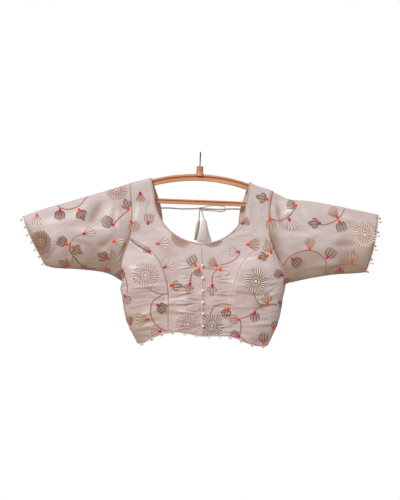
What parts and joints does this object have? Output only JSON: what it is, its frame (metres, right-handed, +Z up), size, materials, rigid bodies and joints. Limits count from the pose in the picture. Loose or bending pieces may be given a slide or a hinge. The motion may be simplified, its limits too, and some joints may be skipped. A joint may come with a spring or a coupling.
{
  "type": "choli blouse on hanger",
  "caption": "Short fitted choli blouse with elbow sleeves, round neck, front placket, back tie with tassels and beaded edges, hanging on a moulded clothes hanger with a steel hook",
  "frame": {"origin": "the inside of the top of the hook, where a rail holds it", "axes": "+X along the hanger towards the wearer's left sleeve, +Z up, the front of the blouse faces -Y"},
  "size_m": [0.9021, 0.0994, 0.4912],
  "materials": {
    "cloth": "matte blush cotton silk with a slight sheen",
    "tie": "rolled cloth cord",
    "bead": "small pale beads on a narrow cloth edge",
    "pearl": "pearly, glossy",
    "plastic": "satin tan moulded plastic",
    "steel": "plain drawn wire"
  },
  "bodies": {
    "root": {"back": "cloth", "front_right": "cloth", "front_left": "cloth", "side_front_right": "cloth", "side_front_left": "cloth", "sleeve_right": "cloth", "sleeve_left": "cloth", "placket": "cloth", "button_stand": "cloth", "neck_piping": "cloth", "hem_edging": "bead", "cuff_edging_right": "bead", "cuff_edging_left": "bead", "button_1": "pearl", "button_2": "pearl", "button_3": "pearl", "button_4": "pearl", "button_5": "pearl", "button_6": "pearl", "tie_right": "tie", "tie_left": "tie", "tie_knot": "tie", "tie_bow": "tie", "tail_front": "tie", "tail_rear": "tie", "tassel_front": "cloth", "tassel_rear": "cloth", "hanger": "plastic", "hook": "steel"}
  },
  "joints": []
}
